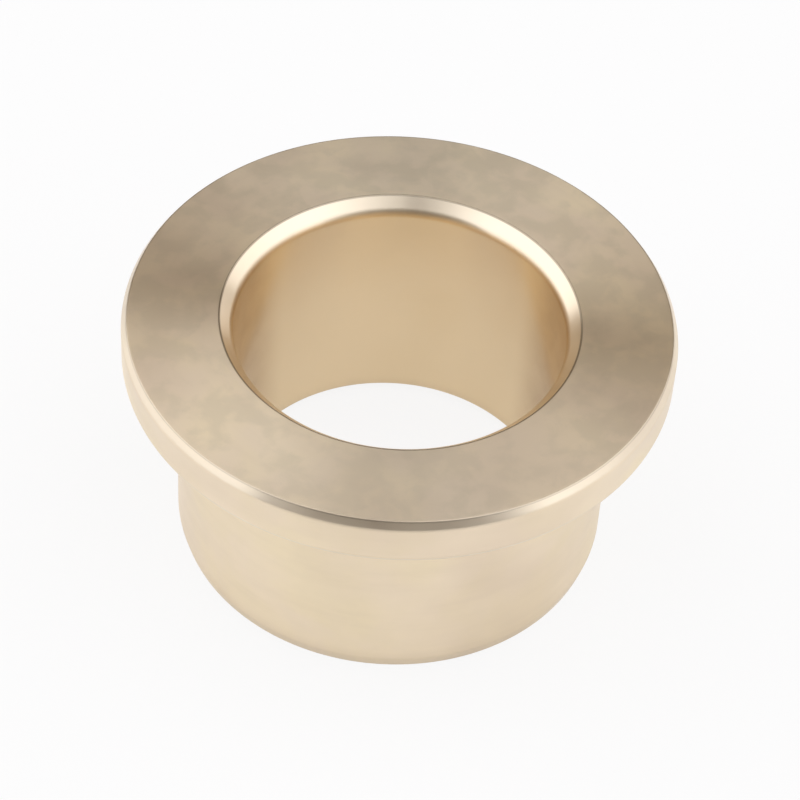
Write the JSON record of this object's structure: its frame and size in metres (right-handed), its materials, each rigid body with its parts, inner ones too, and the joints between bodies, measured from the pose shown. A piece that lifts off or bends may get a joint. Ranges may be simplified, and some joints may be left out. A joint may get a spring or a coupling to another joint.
{
  "type": "self-lubricating flanged bushing",
  "caption": "Turned bronze bush with a flange at one end, a straight bore with chamfered mouths, bevelled flange rims and a tapered lead-in on the barrel.",
  "frame": {"origin": "centre of the bore at the barrel's end face, which the bush stands on", "axes": "+Z along the bore axis, from the barrel's end face to the flange face; the bush is round, so +X and +Y are any two directions across it"},
  "size_m": [0.05, 0.05, 0.025],
  "materials": {
    "bronze": "fine-turned, satin, pale gold bronze"
  },
  "bodies": {
    "root": {"bushing": "bronze"}
  },
  "joints": []
}
